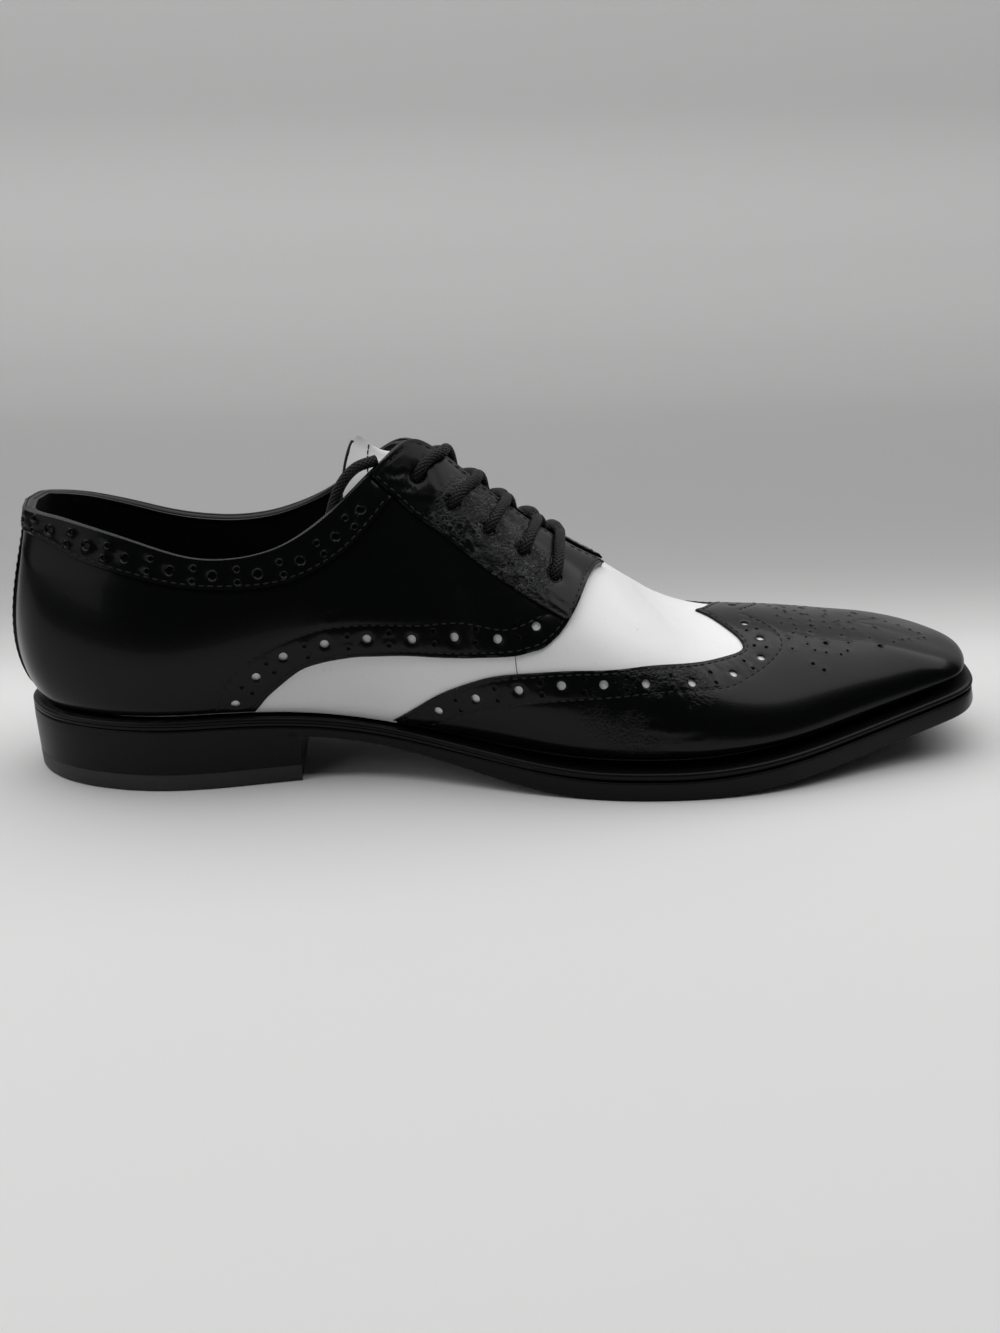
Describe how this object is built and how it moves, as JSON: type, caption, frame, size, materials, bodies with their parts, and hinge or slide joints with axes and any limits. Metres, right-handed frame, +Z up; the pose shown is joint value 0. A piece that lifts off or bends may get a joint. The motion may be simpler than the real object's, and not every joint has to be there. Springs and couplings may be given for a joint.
{
  "type": "spectator shoe",
  "caption": "Black and white wingtip derby shoe with a long squared toe, punched edges, a stacked heel and a leather-look sole.",
  "frame": {"origin": "on the floor under the middle of the heel", "axes": "+X to the toe, +Y to the inner side of the foot, +Z up"},
  "size_m": [0.3155, 0.1008, 0.1062],
  "materials": {
    "white_leather": "smooth, low gloss",
    "black_leather": "polished",
    "soft_black_leather": "soft, creased",
    "insole_leather": "smooth",
    "sole_leather": "dyed and waxed edge",
    "top_piece_rubber": "matt",
    "lace": "waxed round braid"
  },
  "bodies": {
    "root": {"upper": "white_leather", "tongue": "white_leather", "wing_cap": "black_leather", "quarter_outer": "black_leather", "quarter_inner": "black_leather", "collar_band_outer": "black_leather", "collar_band_inner": "black_leather", "back_strip": "black_leather", "facing_outer": "soft_black_leather", "facing_inner": "soft_black_leather", "insole": "insole_leather", "welt": "sole_leather", "outsole": "sole_leather", "heel": "sole_leather", "top_piece": "top_piece_rubber", "lace_bar": "lace", "lace_crossing_1": "lace", "lace_crossing_2": "lace", "lace_crossing_3": "lace", "lace_crossing_4": "lace", "lace_end": "lace"}
  },
  "joints": []
}
